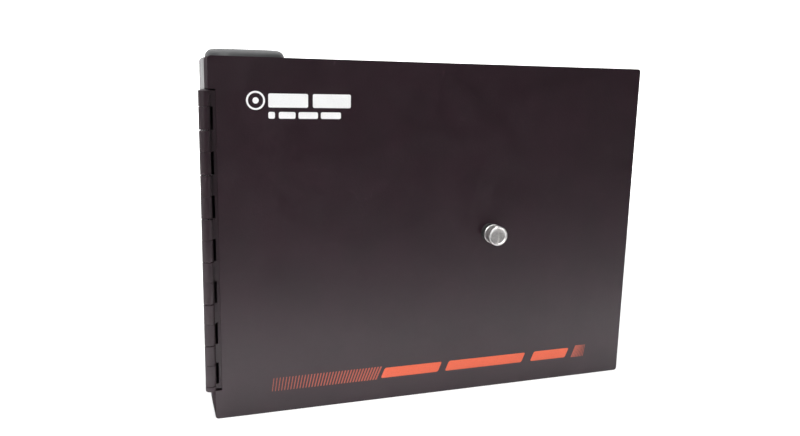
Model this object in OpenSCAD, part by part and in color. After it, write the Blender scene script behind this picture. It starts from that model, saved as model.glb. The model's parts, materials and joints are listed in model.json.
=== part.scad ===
// Wall-mounted fibre termination box with a piano-hinged door. A splice bay lies on the
// left and a patch bay on the right, with two adapter panels on a bulkhead between them.
// X runs to the right, Y runs towards the wall and Z runs up. The origin is the middle of
// the four wall holes, on the back face.

/* [Cabinet] */
// Overall width of the box
box_w = 285.75; // [240:0.25:360]
// Overall height of the box
box_h = 215.9; // [214:0.1:280]
// Depth of the fixed body, from the wall to its front edge
body_d = 38.1; // [36:0.1:60]
// Depth of the door, from its face to the rear edge of its flanges
door_d = 25.4; // [24:0.1:36]
// Thickness of the sheet metal
sheet_t = 1.2; // [1:0.05:1.6]
// Gap between the door's flanges and the body's front edge
door_gap = 0.4; // [0.3:0.1:1]
// How far the body's inner lips stand into the door
lip_reach = 8; // [4:1:12]

/* [Wall holes] */
// Distance between the wall holes across the box
wall_hole_dx = 254; // [200:1:280]
// Distance between the wall holes up the box
wall_hole_dz = 165.1; // [120:0.1:180]
// Diameter of a wall hole
wall_hole_d = 5.6; // [4:0.1:8]

/* [Hinge] */
// Length of the hinge
hinge_len = 177.8; // [120:0.1:190]
// Distance from one knuckle to the next
knuckle_pitch = 12.7; // [10:0.1:20]
// Length of the cut knuckle at the top end
top_knuckle = 9.15; // [3:0.05:12]
// Diameter of the hinge pin
pin_d = 3.2; // [2.5:0.1:4]
// Thickness of the hinge leaves
leaf_t = 1.5; // [1:0.1:2]
// Radial clearance of the pin in its knuckles
pin_clear = 0.05; // [0.02:0.01:0.1]
// Width of the fixed leaf, from the pin's axis
body_leaf_w = 37; // [34:1:44]
// Width of the door's leaf, from the pin's axis
door_leaf_w = 24; // [18:1:34]
// Width of the notch that shows the hinge in the door's face
notch_w = 4.1; // [3:0.1:8]
// Diameter of a hinge rivet's shank
rivet_d = 3.2; // [2.4:0.1:4]

/* [Captive screw] */
// Distance of the screw from the door's hinge edge
knob_from_edge = 177.8; // [150:0.1:190]
// Diameter of the knurled knob
knob_d = 12.7; // [12:0.1:18]
// Length of the knob
knob_len = 8; // [7:0.5:12]
// Diameter of the screw's thread
screw_d = 4.8; // [4:0.1:5]
// How far the knob pushes in
travel = 4.5; // [3:0.1:4.6]

/* [Cable entry] */
// Distance of the entry's middle from the left side
entry_from_edge = 26.4; // [26:0.1:40]
// Width of the grommet's lip
grommet_w = 48.4; // [40:0.1:50]
// Depth of the grommet's lip, towards the wall
grommet_d = 30; // [24:0.5:32]
// Height of the lip above the top wall
grommet_h = 5.1; // [3:0.1:8]
// Width of the rim that the lip covers
grommet_rim = 3.7; // [2:0.1:5]
// Thickness of the rubber round the hole
grommet_wall = 2.6; // [2:0.1:4]

/* [Adapter panels] */
// Height of an adapter panel
panel_h = 92; // [88:1:94]
// Width of an adapter panel
panel_w = 42; // [40:1:44]
// Thickness of an adapter panel
panel_t = 1.5; // [1:0.1:2]
// Distance between two adapters
adapter_pitch = 15; // [12:0.5:16]

/* [Splice bay] */
// Width of the splice tray
tray_w = 94; // [80:1:104]
// Height of the splice tray
tray_h = 150; // [130:1:170]
// Depth of the splice tray's walls
tray_d = 9; // [7:0.5:12]
// Diameter of a slack spool's drum
spool_d = 50; // [40:1:54]
// Diameter of the cable that the clamp holds
cable_d = 14; // [8:0.5:16]

/* [Hidden] */
panel_names = ["upper", "lower"];
adapters_per_panel = 4;
adapter_numbers = [for (i = [1 : 2 * adapters_per_panel]) i];
latch_numbers = [1, 2, 3, 4];
ring_numbers = [1, 2, 3];
$fn = 48;
eps = 0.01;

half_w = box_w / 2;
half_h = box_h / 2;
front_y = -(body_d + door_d);
door_in = front_y + sheet_t;
floor_y = -sheet_t;

// Hinge
pin_r = pin_d / 2;
bore_r = pin_r + pin_clear;
barrel_r = bore_r + leaf_t;
// The barrel's centre is this much closer to the wall than on a hinge with flat leaves
joggle = 0.8;
pivot_x = -half_w - barrel_r + joggle;
pivot_y = door_in + leaf_t - barrel_r;
slot_clear = 0.3;
body_leaf_slot = 1.2;
door_leaf_slot = 1.7;
gap_above = 0.45;
gap_below = 0.15;
full_knuckles = floor((hinge_len - top_knuckle) / knuckle_pitch);
last_knuckle = full_knuckles + 1;
notch_margin = 0.8;
rivet_count = 5;
rivet_pitch = hinge_len * 0.8 / (rivet_count - 1) * 15 / 14;
rivet_y = pivot_y + body_leaf_w - 5;

// Captive screw
knob_x = -half_w + knob_from_edge;
knob_r = knob_d / 2;
screw_r = screw_d / 2;
ferrule_flange = 1;
ferrule_r = knob_r - 1.75;
ferrule_wall = 0.7;
ferrule_tail_r = 4;
ferrule_tail = 1.8;
ferrule_floor = 0.8;
knob_rear = front_y - ferrule_flange - travel - 0.1;
knob_front = knob_rear - knob_len;
knob_face_t = 2.5;
ferrule_len = ferrule_flange + knob_len - knob_face_t - 0.2;
ring_y = door_in + ferrule_tail + 0.1;
ring_t = 0.8;
screw_tip = front_y + 8.5;
groove_r = screw_r - 0.5;
nut_face = screw_tip + 1.5;

// Bulkhead and panels
tab_w = 19.4;
tab_h = 26;
tab_hole_r = 3.6;
web_x = knob_x - tab_w / 2 - sheet_t;
web_half_h = half_h - sheet_t - 2.2;
foot_w = 14;
panel_x = web_x + sheet_t;
panel_y = (nut_face + floor_y) / 2;
panel_z = tab_h / 2 - 5.5 + panel_h / 2;
latch_z = panel_h / 2 - 8;
latch_r = 3.4;
plunger_r = 1.8;
flange_x = panel_x + panel_t;
flange_t = 2;
adapter_w = 26;
adapter_h = 9.4;
adapter_reach = 13;
port_w = 9;
port_h = 7.4;
port_pitch = 12.7;
cap_clear = 0.1;

// Entry
entry_x = -half_w + entry_from_edge;
entry_y = -body_d / 2;

// Splice bay
bay_x = web_x - 75;
standoff_len = 20.8;
tray_back = floor_y - standoff_len;
tray_t = 1.5;
tray_wall = 1.6;
cover_t = 1.2;
stud_r = 2;
spool_z = spool_d / 2 + 15;
clamp_x = entry_x;
clamp_z = 56;
ear_w = 7;
ground_x = -half_w + 15;
ground_z = -56;
ground_r = 2.5;
ring_x = half_w - 38;

// z of the upper end of knuckle i, counted from the top
function knuckle_top(i) =
    i == 0 ? hinge_len / 2
    : i <= last_knuckle ? hinge_len / 2 - top_knuckle - (i - 1) * knuckle_pitch
    : -hinge_len / 2;

// Flat outline with two round ends, w long and h wide
module obround(w, h) {
    square([w - h, h], center = true);
    for (s = [-1, 1])
        translate([s * (w - h) / 2, 0])
            circle(d = h);
}

// Outline with corners of radius r
module rounded(w, h, r) {
    square([w - 2 * r, h], center = true);
    square([w, h - 2 * r], center = true);
    for (sx = [-1, 1], sy = [-1, 1])
        translate([sx * (w / 2 - r), sy * (h / 2 - r)])
            circle(r);
}

// Box given by its lowest and highest corners
module block(low, high) {
    translate(low)
        cube(high - low);
}

// Cylinder along Y from y0 to y1
module rod_y(x, z, y0, y1, r) {
    translate([x, y0, z])
        rotate([-90, 0, 0])
            cylinder(h = y1 - y0, r = r);
}

// Cylinder along X from x0 to x1
module rod_x(y, z, x0, x1, r) {
    translate([x0, y, z])
        rotate([0, 90, 0])
            cylinder(h = x1 - x0, r = r);
}

// Outline in the X-Z plane, raised from y0 to y1
module raise_y(x, z, y0, y1) {
    translate([x, y1, z])
        rotate([90, 0, 0])
            linear_extrude(y1 - y0)
                children();
}

// ---- Cabinet ----

// Lips inside the front edge. They stop short of the hinge, where the door's flange swings.
module inner_lips() {
    inner_w = half_w - sheet_t;
    inner_h = half_h - sheet_t;
    gap = 0.5;
    seam = 5;
    lip_start = pivot_x + door_d + 8;
    for (s = [-1, 1]) {
        block([lip_start, -body_d, min(s * inner_h, s * (inner_h - gap - sheet_t))],
              [inner_w - 6, -body_d + seam, max(s * inner_h, s * (inner_h - gap - sheet_t))]);
        block([lip_start, -body_d - lip_reach, min(s * (inner_h - gap), s * (inner_h - gap - sheet_t))],
              [inner_w - 6, -body_d + 1, max(s * (inner_h - gap), s * (inner_h - gap - sheet_t))]);
    }
    block([inner_w - gap - sheet_t, -body_d, -inner_h + 6], [inner_w, -body_d + seam, inner_h - 6]);
    block([inner_w - gap - sheet_t, -body_d - lip_reach, -inner_h + 6],
          [inner_w - gap, -body_d + 1, inner_h - 6]);
}

// Scored outline of the lower entry, held by two uncut bridges
module knockout_score() {
    score_w = 0.5;
    translate([ring_x, entry_y, -half_h - 1])
        linear_extrude(sheet_t + 2)
            difference() {
                obround(grommet_w - 2 * grommet_rim, grommet_d - 2 * grommet_rim);
                obround(grommet_w - 2 * grommet_rim - 2 * score_w,
                        grommet_d - 2 * grommet_rim - 2 * score_w);
                square([3, grommet_d], center = true);
            }
}

module cabinet_body() {
    color([0.16, 0.15, 0.16])
    difference() {
        union() {
            difference() {
                block([-half_w, -body_d, -half_h], [half_w, 0, half_h]);
                block([-half_w + sheet_t, -body_d - 1, -half_h + sheet_t],
                      [half_w - sheet_t, floor_y, half_h - sheet_t]);
            }
            inner_lips();
        }
        for (sx = [-1, 1], sz = [-1, 1])
            rod_y(sx * wall_hole_dx / 2, sz * wall_hole_dz / 2, -sheet_t - 1, 1, wall_hole_d / 2);
        translate([entry_x, entry_y, half_h - sheet_t - 1])
            linear_extrude(sheet_t + 2)
                obround(grommet_w - 2 * grommet_rim, grommet_d - 2 * grommet_rim);
        for (z = rivet_places())
            rod_x(rivet_y, z, -half_w - 1, -half_w + sheet_t + 1, rivet_d / 2);
        for (z = foot_screw_places())
            rod_y(foot_screw_x(), z, -sheet_t - 1, 1, 1.5);
        knockout_score();
    }
}

// Lip above the wall, a round disc at each end and a straight run between them
module grommet_lip() {
    lip_r = grommet_d / 2;
    run = grommet_w - grommet_d;
    for (s = [-1, 1])
        translate([s * run / 2, 0, 0])
            rotate_extrude()
                lip_section(lip_r);
    translate([-run / 2, 0, 0])
        rotate([90, 0, 90])
            linear_extrude(run)
                for (s = [0, 1])
                    mirror([s, 0])
                        lip_section(lip_r);
}

// Half of the lip's section, with a rounded upper edge
module lip_section(lip_r) {
    edge = grommet_h * 0.86;
    square([lip_r, grommet_h - edge]);
    square([lip_r - edge, grommet_h]);
    translate([lip_r - edge, grommet_h - edge])
        intersection() {
            circle(edge);
            square(edge);
        }
}

module cable_grommet() {
    inner_lip = 4;
    neck_w = grommet_w - 2 * grommet_rim;
    neck_d = grommet_d - 2 * grommet_rim;
    color([0.2, 0.2, 0.21])
    translate([entry_x, entry_y, half_h])
        difference() {
            union() {
                grommet_lip();
                translate([0, 0, -sheet_t - eps])
                    linear_extrude(sheet_t + 2 * eps)
                        obround(neck_w, neck_d);
                translate([0, 0, -sheet_t - inner_lip])
                    linear_extrude(inner_lip)
                        obround(grommet_w - 4, grommet_d - 4);
            }
            translate([0, 0, -sheet_t - inner_lip - 1])
                linear_extrude(grommet_h + sheet_t + inner_lip + 2)
                    obround(neck_w - 2 * grommet_wall, neck_d - 2 * grommet_wall);
        }
}

// ---- Hinge ----

function rivet_places() = [for (i = [0 : rivet_count - 1]) (i - (rivet_count - 1) / 2) * rivet_pitch];

module hinge_barrel() {
    translate([pivot_x, pivot_y, -hinge_len / 2])
        cylinder(h = hinge_len, r = barrel_r);
}

module hinge_bore() {
    translate([pivot_x, pivot_y, -hinge_len / 2 - 1])
        cylinder(h = hinge_len + 2, r = bore_r);
}

module hinge_body_leaf() {
    reach = barrel_r + body_leaf_slot;
    color([0.24, 0.21, 0.22])
    difference() {
        union() {
            hinge_barrel();
            block([-half_w - leaf_t, pivot_y, -hinge_len / 2],
                  [-half_w, pivot_y + body_leaf_w, hinge_len / 2]);
        }
        hinge_bore();
        for (i = [0 : 2 : last_knuckle])
            block([pivot_x - reach, pivot_y - reach, knuckle_top(i + 1) - (i == last_knuckle ? 1 : 0)],
                  [pivot_x + reach, pivot_y + reach, knuckle_top(i) + (i == 0 ? 1 : 0)]);
        for (z = rivet_places())
            rod_x(rivet_y, z, pivot_x, -half_w + 1, rivet_d / 2);
    }
}

module hinge_door_leaf() {
    reach = barrel_r + slot_clear;
    slot = barrel_r + door_leaf_slot;
    color([0.24, 0.21, 0.22])
    difference() {
        union() {
            hinge_barrel();
            block([pivot_x, pivot_y + barrel_r - leaf_t, -hinge_len / 2],
                  [pivot_x + door_leaf_w, pivot_y + barrel_r, hinge_len / 2]);
        }
        hinge_bore();
        for (i = [1 : 2 : last_knuckle])
            block([pivot_x - reach, pivot_y - reach, knuckle_top(i + 1) - gap_above],
                  [pivot_x + slot, pivot_y + reach, knuckle_top(i) + gap_below]);
    }
}

module hinge_pin() {
    color([0.75, 0.75, 0.76])
    translate([pivot_x, pivot_y, -hinge_len / 2 + 0.3])
        cylinder(h = hinge_len - 0.6, r = pin_r);
}

module hinge_rivets() {
    head_r = rivet_d * 0.95;
    head_h = 1.1;
    leaf_face = -half_w - leaf_t;
    color([0.7, 0.7, 0.71])
    for (z = rivet_places())
        union() {
            rod_x(rivet_y, z, leaf_face - head_h, leaf_face, head_r);
            rod_x(rivet_y, z, leaf_face - eps, -half_w + sheet_t + eps, rivet_d / 2);
            rod_x(rivet_y, z, -half_w + sheet_t, -half_w + sheet_t + head_h, head_r * 0.8);
        }
}

// ---- Door ----

module door_panel() {
    color([0.22, 0.19, 0.2])
    difference() {
        block([-half_w, front_y, -half_h], [half_w, -body_d - door_gap, half_h]);
        block([-half_w + sheet_t, door_in, -half_h + sheet_t],
              [half_w - sheet_t, 0, half_h - sheet_t]);
        block([-half_w - 1, front_y - 1, -hinge_len / 2 - notch_margin],
              [-half_w + notch_w, 0, hinge_len / 2 + notch_margin]);
        rod_y(knob_x, 0, front_y - 1, door_in + 1, ferrule_tail_r);
    }
}

module record_card() {
    card_w = 78;
    card_h = 110;
    card_t = 0.4;
    color([0.93, 0.93, 0.9])
    raise_y((knob_x + half_w) / 2 + 6, 0, door_in, door_in + card_t)
        rounded(card_w, card_h, 2);
}

// ---- Captive screw ----

module screw_ferrule() {
    color([0.7, 0.7, 0.7])
    difference() {
        union() {
            rod_y(knob_x, 0, front_y - ferrule_flange, front_y, knob_r - 0.4);
            rod_y(knob_x, 0, front_y - ferrule_len, front_y, ferrule_r);
            rod_y(knob_x, 0, front_y - eps, door_in + ferrule_tail, ferrule_tail_r);
            rod_y(knob_x, 0, door_in, door_in + 0.8, ferrule_tail_r + 0.6);
        }
        rod_y(knob_x, 0, front_y - ferrule_len - 1, front_y - ferrule_floor, ferrule_r - ferrule_wall);
        rod_y(knob_x, 0, front_y - 1, door_in + ferrule_tail + 1, screw_r + 0.15);
    }
}

// Spring wound as a helix of round wire along Y
module screw_spring() {
    coil_r = screw_r + 0.75;
    wire_r = 0.3;
    turns = 7;
    steps = 14;
    sides = 8;
    start = front_y - ferrule_floor - 0.1;
    length = start - (knob_front + knob_face_t) - 0.1;
    rings = turns * steps;
    points = [for (i = [0 : rings], j = [0 : sides - 1])
        let (a = i * 360 / steps, b = j * 360 / sides, r = coil_r + wire_r * cos(b))
            [r * cos(a), r * sin(a), wire_r + (length - 2 * wire_r) * i / rings + wire_r * sin(b)]];
    sleeve = [for (i = [0 : rings - 1], j = [0 : sides - 1])
        let (k = (j + 1) % sides)
            [i * sides + j, (i + 1) * sides + j, (i + 1) * sides + k, i * sides + k]];
    caps = [[for (j = [0 : sides - 1]) j], [for (j = [sides - 1 : -1 : 0]) rings * sides + j]];
    color([0.6, 0.6, 0.6])
    translate([knob_x, start, 0])
        rotate([90, 0, 0])
            polyhedron(points, concat(sleeve, caps));
}

module retaining_ring() {
    color([0.5, 0.5, 0.5])
    difference() {
        rod_y(knob_x, 0, ring_y, ring_y + ring_t, screw_r + 1.8);
        rod_y(knob_x, 0, ring_y - 1, ring_y + ring_t + 1, groove_r + 0.05);
    }
}

module captive_screw() {
    head_r = screw_r - 0.4;
    color([0.72, 0.72, 0.72])
    difference() {
        rod_y(knob_x, 0, knob_front + knob_face_t, screw_tip, screw_r);
        difference() {
            rod_y(knob_x, 0, ring_y - 0.05, ring_y + ring_t + 0.05, screw_r + 1);
            rod_y(knob_x, 0, ring_y - 1, ring_y + ring_t + 1, groove_r);
        }
        difference() {
            rod_y(knob_x, 0, screw_tip - 0.6, screw_tip + 1, screw_r + 1);
            rod_y(knob_x, 0, screw_tip - 1, screw_tip + 2, head_r);
        }
    }
}

module knob() {
    rim = 1.1;
    recess = 0.8;
    slot_w = 1.8;
    slot_depth = 1;
    color([0.8, 0.8, 0.8])
    difference() {
        rod_y(knob_x, 0, knob_front, knob_rear, knob_r);
        rod_y(knob_x, 0, knob_front - 1, knob_front + recess, knob_r - rim);
        rod_y(knob_x, 0, knob_front + knob_face_t, knob_rear + 1, ferrule_r + 0.3);
        block([knob_x - slot_w / 2, knob_front - 1, -knob_r + rim],
              [knob_x + slot_w / 2, knob_front + recess + slot_depth, knob_r - rim]);
    }
}

// ---- Bulkhead ----

function foot_screw_x() = web_x + sheet_t + foot_w * 0.6;
function foot_screw_places() = [for (s = [-1, 1], z = [0.16, 0.9]) s * z * web_half_h];

module bulkhead() {
    color([0.3, 0.29, 0.3])
    difference() {
        union() {
            block([web_x, nut_face, -web_half_h], [web_x + sheet_t, floor_y, web_half_h]);
            block([web_x, floor_y - sheet_t, -web_half_h], [web_x + sheet_t + foot_w, floor_y, web_half_h]);
            block([web_x, nut_face, -tab_h / 2], [web_x + sheet_t + tab_w, nut_face + sheet_t, tab_h / 2]);
        }
        rod_y(knob_x, 0, nut_face - 1, nut_face + sheet_t + 1, tab_hole_r);
        for (s = [-1, 1]) {
            block([web_x - 1, panel_y - adapter_w / 2 - 3, s * panel_z - panel_h / 2 + 15.5],
                  [panel_x + 1, panel_y + adapter_w / 2 + 3, s * panel_z + panel_h / 2 - 15.5]);
            for (t = [-1, 1])
                rod_x(panel_y, s * panel_z + t * latch_z, web_x - 1, panel_x + 1, latch_r);
        }
        for (z = foot_screw_places())
            rod_y(foot_screw_x(), z, floor_y - sheet_t - 1, floor_y + 1, 1.5);
    }
}

module bulkhead_screws() {
    color([0.7, 0.7, 0.71])
    for (z = foot_screw_places())
        difference() {
            union() {
                rod_y(foot_screw_x(), z, floor_y - sheet_t - 2, floor_y - sheet_t, 2.9);
                rod_y(foot_screw_x(), z, floor_y - sheet_t - eps, -0.2, 1.5);
            }
            for (a = [0, 90])
                translate([foot_screw_x(), floor_y - sheet_t - 2, z])
                    rotate([0, a, 0])
                        cube([3.4, 2, 0.8], center = true);
        }
}

module latch_nut() {
    color([0.75, 0.75, 0.76])
    difference() {
        union() {
            rod_y(knob_x, 0, nut_face, nut_face + sheet_t + eps, tab_hole_r);
            rod_y(knob_x, 0, nut_face + sheet_t, nut_face + sheet_t + 4.8, 5);
        }
        rod_y(knob_x, 0, nut_face - 1, nut_face + sheet_t + 6, screw_r + 0.15);
    }
}

// ---- Adapter panels ----

function adapter_z(i) =
    let (side = i < adapters_per_panel ? 1 : -1, k = i % adapters_per_panel)
        side * panel_z + ((adapters_per_panel - 1) / 2 - k) * adapter_pitch;

module adapter_panel(side) {
    color([0.3, 0.29, 0.3])
    difference() {
        translate([panel_x, panel_y, side * panel_z])
            rotate([90, 0, 90])
                linear_extrude(panel_t)
                    rounded(panel_w, panel_h, 2.5);
        for (t = [-1, 1])
            rod_x(panel_y, side * panel_z + t * latch_z, panel_x - 1, panel_x + panel_t + 1, latch_r);
        for (i = [0 : 2 * adapters_per_panel - 1])
            block([panel_x - 1, panel_y - adapter_w / 2 - 0.2, adapter_z(i) - adapter_h / 2 - 0.2],
                  [flange_x + 1, panel_y + adapter_w / 2 + 0.2, adapter_z(i) + adapter_h / 2 + 0.2]);
    }
}

// Duplex adapter with two square ports on each side
module adapter(i) {
    flange_w = 35.6;
    flange_h = 10.6;
    middle = flange_x + flange_t / 2;
    color([0.1, 0.25, 0.6])
    translate([0, panel_y, adapter_z(i)])
        difference() {
            union() {
                block([middle - adapter_reach, -adapter_w / 2, -adapter_h / 2],
                      [middle + adapter_reach, adapter_w / 2, adapter_h / 2]);
                block([flange_x, -flange_w / 2, -flange_h / 2],
                      [flange_x + flange_t, flange_w / 2, flange_h / 2]);
            }
            for (s = [-1, 1], t = [-1, 1])
                translate([middle + s * adapter_reach, t * port_pitch / 2, 0])
                    cube([22, port_w, port_h], center = true);
            for (t = [-1, 1])
                rod_x(t * (flange_w / 2 - 2.2), 0, flange_x - 1, flange_x + flange_t + 1, 1.2);
        }
}

// Dust plugs on one side of every adapter; side is -1 on the left and 1 on the right
module dust_caps(side) {
    face = flange_x + flange_t / 2 + side * adapter_reach;
    plug = 6;
    head = 3.6;
    color([0.92, 0.92, 0.9])
    for (i = [0 : 2 * adapters_per_panel - 1], t = [-1, 1])
        translate([face, panel_y + t * port_pitch / 2, adapter_z(i)])
            union() {
                translate([-side * (plug - eps) / 2, 0, 0])
                    cube([plug + eps, port_w - 2 * cap_clear, port_h - 2 * cap_clear], center = true);
                translate([side * head / 2, 0, 0])
                    cube([head, port_w + 1.2, port_h + 1.2], center = true);
            }
}

function latch_place(i) =
    let (side = i < 3 ? 1 : -1, end = i % 2 == 1 ? 1 : -1)
        side * panel_z + end * latch_z;

module latch_grommet(i) {
    head_r = 5.2;
    head_t = 1.4;
    leg = 3.2;
    color([0.12, 0.12, 0.12])
    difference() {
        union() {
            rod_x(panel_y, latch_place(i), flange_x, flange_x + head_t, head_r);
            rod_x(panel_y, latch_place(i), web_x - leg, flange_x + eps, latch_r);
        }
        rod_x(panel_y, latch_place(i), web_x - leg - 1, flange_x + head_t + 1, plunger_r + 0.1);
        for (a = [0, 90])
            translate([web_x - leg, panel_y, latch_place(i)])
                rotate([a, 0, 0])
                    cube([2 * leg - 1, 2 * latch_r + 1, 0.8], center = true);
    }
}

module latch_plunger(i) {
    face = flange_x + 1.4 + 0.3;
    color([0.12, 0.12, 0.12])
    union() {
        rod_x(panel_y, latch_place(i), face, face + 4, 4.4);
        rod_x(panel_y, latch_place(i), web_x - 3.4, face + eps, plunger_r);
    }
}

// ---- Splice bay ----

module slack_spool(side) {
    drum_d = spool_d;
    wall = 1.8;
    height = 16;
    fin_w = 12;
    fin_reach = 5;
    color([0.14, 0.14, 0.15])
    difference() {
        union() {
            rod_y(bay_x, side * spool_z, floor_y - height, floor_y, drum_d / 2);
            for (a = [45 : 90 : 315])
                translate([bay_x, floor_y - height, side * spool_z])
                    rotate([0, a, 0])
                        translate([drum_d / 2 - wall / 2, 0, -fin_w / 2])
                            cube([fin_reach + wall / 2, 1.5, fin_w]);
        }
        rod_y(bay_x, side * spool_z, floor_y - height - 1, floor_y - wall, drum_d / 2 - wall);
    }
}

module tray_stud() {
    color([0.7, 0.7, 0.71])
    rod_y(bay_x, 0, tray_back - tray_d - 12, floor_y, stud_r);
}

module tray_standoff() {
    color([0.75, 0.75, 0.76])
    difference() {
        rod_y(bay_x, 0, tray_back, floor_y, 5);
        rod_y(bay_x, 0, tray_back - 1, floor_y + 1, stud_r + 0.1);
    }
}

module splice_tray() {
    corner = 16;
    gate = 14;
    boss_r = 6;
    color([0.16, 0.16, 0.17])
    difference() {
        union() {
            difference() {
                raise_y(bay_x, 0, tray_back - tray_d, tray_back)
                    rounded(tray_w, tray_h, corner);
                raise_y(bay_x, 0, tray_back - tray_d - 1, tray_back - tray_t)
                    rounded(tray_w - 2 * tray_wall, tray_h - 2 * tray_wall, corner - tray_wall);
                for (sx = [-1, 1], sz = [-1, 1])
                    translate([bay_x + sx * (tray_w / 2 - corner - gate / 2),
                               tray_back - tray_d / 2 - tray_t, sz * tray_h / 2])
                        cube([gate, tray_d, 3 * tray_wall], center = true);
            }
            rod_y(bay_x, 0, tray_back - tray_d, tray_back, boss_r);
            for (sz = [-1, 1], sx = [-1, 1])
                translate([bay_x + sx * (tray_w / 2 - tray_wall - 3),
                           tray_back - tray_d + 0.75, sz * tray_h / 5])
                    cube([6 + eps, 1.5, 10], center = true);
            for (s = [-1, 1])
                raise_y(bay_x, s * (tray_h / 2 - 34), tray_back - tray_d + 1, tray_back)
                    difference() {
                        circle(21);
                        circle(19.6);
                        translate([0, -s * 25])
                            square([60, 50], center = true);
                    }
        }
        rod_y(bay_x, 0, tray_back - tray_d - 1, tray_back + 1, stud_r + 0.2);
    }
}

// Comb that holds the splice sleeves, twelve slots side by side
module splice_holder() {
    slots = 12;
    pitch = 4;
    wall = 1.2;
    length = 24;
    height = 5;
    z = 22;
    color([0.85, 0.85, 0.82])
    translate([bay_x, tray_back - tray_t, z])
        union() {
            block([-slots * pitch / 2, -1.2, -length / 2], [slots * pitch / 2, 0, length / 2]);
            for (i = [0 : slots], s = [-1, 1])
                translate([(i - slots / 2) * pitch, -height / 2, s * (length / 2 - 4)])
                    cube([wall, height, 8], center = true);
        }
}

module tray_cover() {
    color([0.8, 0.85, 0.9, 0.4])
    raise_y(bay_x, 0, tray_back - tray_d - cover_t, tray_back - tray_d)
        difference() {
            rounded(tray_w - 1, tray_h - 1, 15.5);
            circle(stud_r + 0.3);
            for (s = [-1, 1])
                translate([0, s * tray_h / 2])
                    obround(22, 14);
        }
}

module wing_nut() {
    face = tray_back - tray_d - cover_t;
    color([0.75, 0.75, 0.76])
    difference() {
        union() {
            rod_y(bay_x, 0, face - 4, face, 4.2);
            for (s = [-1, 1])
                raise_y(bay_x + s * 8, 0, face - 9, face - 1.5)
                    square([9, 1.6], center = true);
        }
        rod_y(bay_x, 0, face - 12, face + 1, stud_r + 0.1);
    }
}

// ---- Cable clamp and ground stud ----

clamp_base_t = 4;
clamp_axis_y = floor_y - clamp_base_t - cable_d / 2 + 1;
clamp_screw_dx = cable_d / 2 + ear_w / 2 + 1;

module clamp_base() {
    color([0.3, 0.29, 0.3])
    difference() {
        raise_y(clamp_x, clamp_z, floor_y - clamp_base_t, floor_y)
            rounded(2 * clamp_screw_dx + ear_w, 16, 2);
        for (s = [-1, 1])
            rod_y(clamp_x + s * clamp_screw_dx, clamp_z, floor_y - clamp_base_t - 1, floor_y + 1, 1.6);
        translate([clamp_x, clamp_axis_y, clamp_z])
            cylinder(h = 20, r = cable_d / 2, center = true);
    }
}

module clamp_saddle() {
    strap_t = 1.5;
    strap_h = 10;
    gap = 1;
    face = floor_y - clamp_base_t - gap;
    color([0.72, 0.72, 0.73])
    difference() {
        translate([clamp_x, 0, clamp_z - strap_h / 2])
            linear_extrude(strap_h)
                difference() {
                    union() {
                        translate([0, clamp_axis_y])
                            circle(cable_d / 2 + strap_t);
                        translate([-clamp_screw_dx - ear_w / 2, face - strap_t])
                            square([2 * clamp_screw_dx + ear_w, strap_t]);
                    }
                    translate([0, clamp_axis_y])
                        circle(cable_d / 2);
                    translate([-cable_d, face])
                        square([2 * cable_d, cable_d * 2]);
                }
        for (s = [-1, 1])
            rod_y(clamp_x + s * clamp_screw_dx, clamp_z, face - strap_t - 1, face + 1, 1.75);
    }
}

module clamp_screws() {
    seat = floor_y - clamp_base_t - 1 - 1.5;
    color([0.7, 0.7, 0.71])
    for (s = [-1, 1])
        difference() {
            union() {
                rod_y(clamp_x + s * clamp_screw_dx, clamp_z, seat - 2.2, seat, 3);
                rod_y(clamp_x + s * clamp_screw_dx, clamp_z, seat - eps, floor_y, 1.6);
            }
            translate([clamp_x + s * clamp_screw_dx, seat - 2.2, clamp_z])
                cube([6.4, 1.6, 0.9], center = true);
        }
}

module ground_stud() {
    color([0.72, 0.6, 0.3])
    rod_y(ground_x, ground_z, floor_y - 16, floor_y, ground_r);
}

module ground_washer() {
    color([0.72, 0.6, 0.3])
    difference() {
        rod_y(ground_x, ground_z, floor_y - 1, floor_y, 5.5);
        rod_y(ground_x, ground_z, floor_y - 2, floor_y + 1, ground_r + 0.1);
    }
}

module ground_nut() {
    color([0.72, 0.6, 0.3])
    difference() {
        raise_y(ground_x, ground_z, floor_y - 5, floor_y - 1)
            circle(d = 8 / cos(30), $fn = 6);
        rod_y(ground_x, ground_z, floor_y - 6, floor_y, ground_r + 0.1);
    }
}

// ---- Patch bay ----

// Split ring that keeps the patch cords in place
module cord_ring(i) {
    inner_r = 9;
    wall = 1.8;
    height = 8;
    foot_t = 2;
    slit = 3;
    z = (2 - i) * 64;
    axis_y = floor_y - foot_t - inner_r - wall + 0.5;
    color([0.85, 0.85, 0.82])
    union() {
        raise_y(ring_x, z, floor_y - foot_t, floor_y)
            rounded(22, 16, 2);
        translate([ring_x, axis_y, z])
            difference() {
                cylinder(h = height, r = inner_r + wall, center = true);
                cylinder(h = height + 1, r = inner_r, center = true);
                rotate([0, 0, 25])
                    translate([0, -inner_r, 0])
                        cube([slit, 3 * wall, height + 1], center = true);
            }
    }
}

cabinet_body();
cable_grommet();
hinge_body_leaf();
hinge_rivets();
hinge_pin();
door_panel();
hinge_door_leaf();
record_card();
screw_ferrule();
screw_spring();
retaining_ring();
captive_screw();
knob();
bulkhead();
bulkhead_screws();
latch_nut();
adapter_panel(1);  // adapter_panel_upper
adapter_panel(-1);  // adapter_panel_lower
for (i = adapter_numbers)
    adapter(i - 1);
dust_caps(-1);  // splice_side_caps
dust_caps(1);  // patch_side_caps
for (i = latch_numbers) {
    latch_grommet(i);
    latch_plunger(i);
}
slack_spool(1);  // slack_spool_upper
slack_spool(-1);  // slack_spool_lower
tray_stud();
tray_standoff();
splice_tray();
splice_holder();
tray_cover();
wing_nut();
clamp_base();
clamp_saddle();
clamp_screws();
ground_stud();
ground_washer();
ground_nut();
for (i = ring_numbers)
    cord_ring(i);
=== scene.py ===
import json
import math

import bmesh
import bpy
from mathutils import Matrix, Vector


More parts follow.
